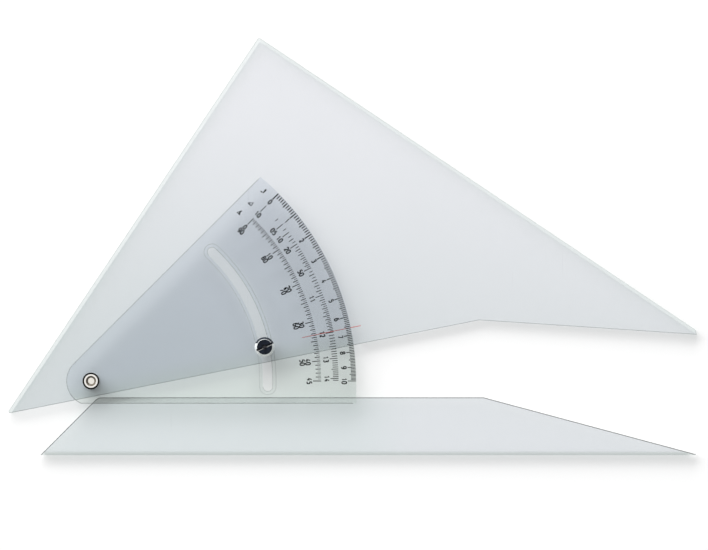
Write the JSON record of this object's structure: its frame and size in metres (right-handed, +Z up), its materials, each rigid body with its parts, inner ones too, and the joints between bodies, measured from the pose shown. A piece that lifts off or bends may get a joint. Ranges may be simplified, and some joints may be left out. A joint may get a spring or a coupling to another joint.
{
  "type": "adjustable set square",
  "caption": "Clear adjustable set square: a base rule, a triangular blade swinging on a hollow rivet, a quadrant with scales over it, and a clamp knob in an arc slot.",
  "frame": {"origin": "on the pivot axis, in the plane of the drawing sheet that the square lies on", "axes": "+X along the base rule's guide edge towards its thin tip, +Y across the sheet from the guide edge towards the blade, +Z up from the sheet along the pivot rivet's axis"},
  "size_m": [0.3255, 0.1973, 0.0095],
  "materials": {
    "clear_base": "clear polished acrylic sheet, slightly green",
    "clear_quadrant": "clear polished acrylic sheet with printed scales",
    "clear_blade": "clear polished acrylic sheet, slightly blue",
    "nickel": "polished nickel plate",
    "black_fibre": "matt black fibre",
    "white_nylon": "satin nylon",
    "steel": "turned and plated",
    "black_knob": "black enamel on the top, bright turned side",
    "black_ink": "printed scales and numbers",
    "red_ink": "filling of the engraved cursor line"
  },
  "bodies": {
    "base": {"base_rule": "clear_base", "quadrant": "clear_quadrant", "pivot_rivet": "nickel", "pivot_washer": "black_fibre", "pivot_spacer": "white_nylon"},
    "blade": {"blade": "clear_blade", "clamp_stud": "steel"},
    "clamp": {"clamp_washer": "white_nylon"},
    "knob": {"clamp_knob": "black_knob"}
  },
  "joints": [
    {"name": "blade_pivot", "type": "hinge", "parent": "base", "child": "blade", "pos_m": [0, 0, 0], "axis": [0, 0, 1], "range_deg": [-11.2, 33.8]},
    {"name": "clamp_lift", "type": "slide", "parent": "blade", "child": "clamp", "axis": [0, 0, 1], "range_m": [0, 0.0004]},
    {"name": "knob_turn", "type": "hinge", "parent": "clamp", "child": "knob", "pos_m": [0.08204, 0.01609, 0], "axis": [0, 0, 1], "range_deg": [0, 360]}
  ],
  "couplings": [
    {"joint": "knob_turn", "follows": "clamp_lift", "rad_per_m": 15708}
  ]
}
